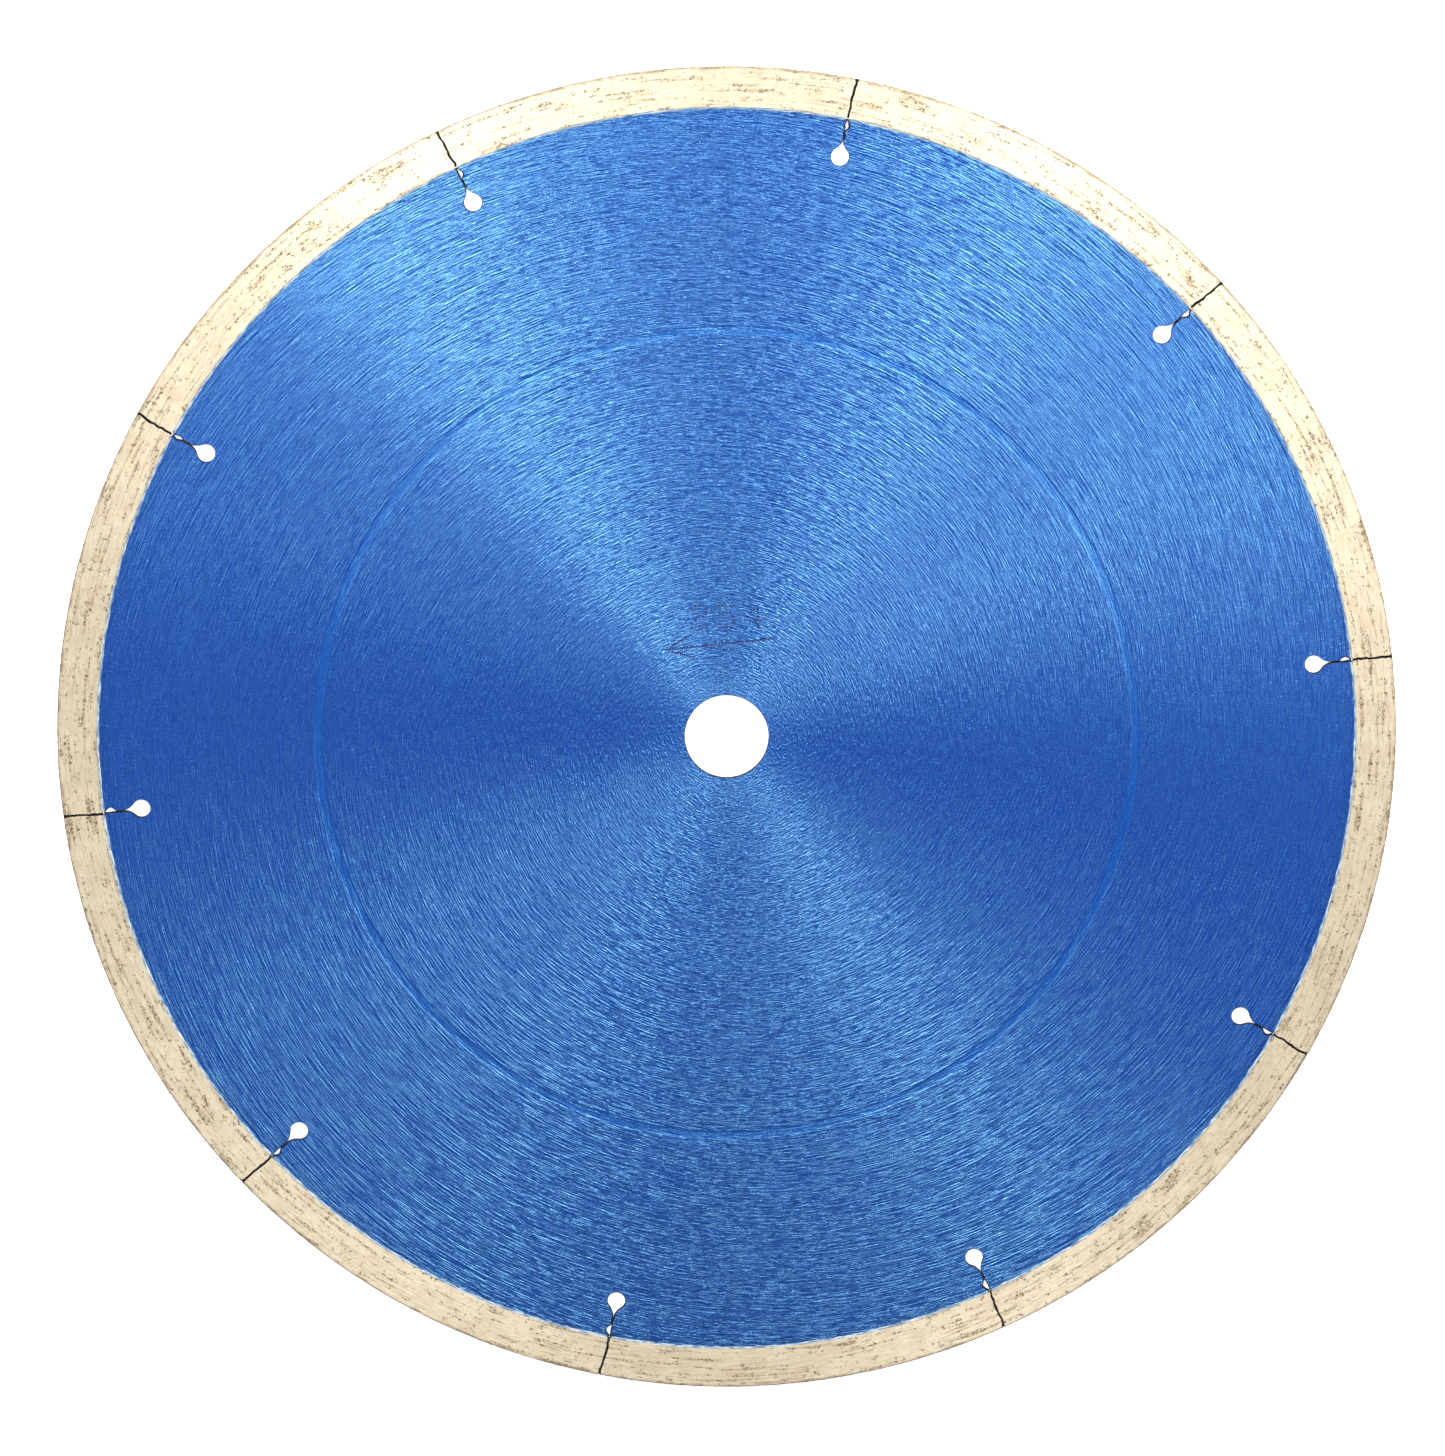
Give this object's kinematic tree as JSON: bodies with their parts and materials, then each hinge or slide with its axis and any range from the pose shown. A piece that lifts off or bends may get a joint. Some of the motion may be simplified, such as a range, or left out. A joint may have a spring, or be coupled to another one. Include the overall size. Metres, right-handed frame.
{
  "type": "diamond blade",
  "caption": "Flat circular diamond blade for a wet tile or masonry saw: blue lacquered steel core with a round arbor bore and keyhole slots, and a slotted rim of brazed diamond segments.",
  "frame": {"origin": "centre of the arbor bore, half way through the core's thickness", "axes": "+Z along the arbor axis, out of the face that carries the rotation arrow; the arrow lies on the +Y side of the bore; +X to the right of it"},
  "size_m": [0.254, 0.254, 0.0016],
  "materials": {
    "lacquered_core": "translucent blue lacquer over circumferentially ground steel",
    "diamond_segment": "sintered bronze and cobalt bond with diamond grit, ground on its sides",
    "silver_solder": "bright drawn solder bead"
  },
  "bodies": {
    "root": {"core": "lacquered_core", "segment_01": "diamond_segment", "segment_02": "diamond_segment", "segment_03": "diamond_segment", "segment_04": "diamond_segment", "segment_05": "diamond_segment", "segment_06": "diamond_segment", "segment_07": "diamond_segment", "segment_08": "diamond_segment", "segment_09": "diamond_segment", "segment_10": "diamond_segment", "braze_01": "silver_solder", "braze_02": "silver_solder", "braze_03": "silver_solder", "braze_04": "silver_solder", "braze_05": "silver_solder", "braze_06": "silver_solder", "braze_07": "silver_solder", "braze_08": "silver_solder", "braze_09": "silver_solder", "braze_10": "silver_solder"}
  },
  "joints": []
}
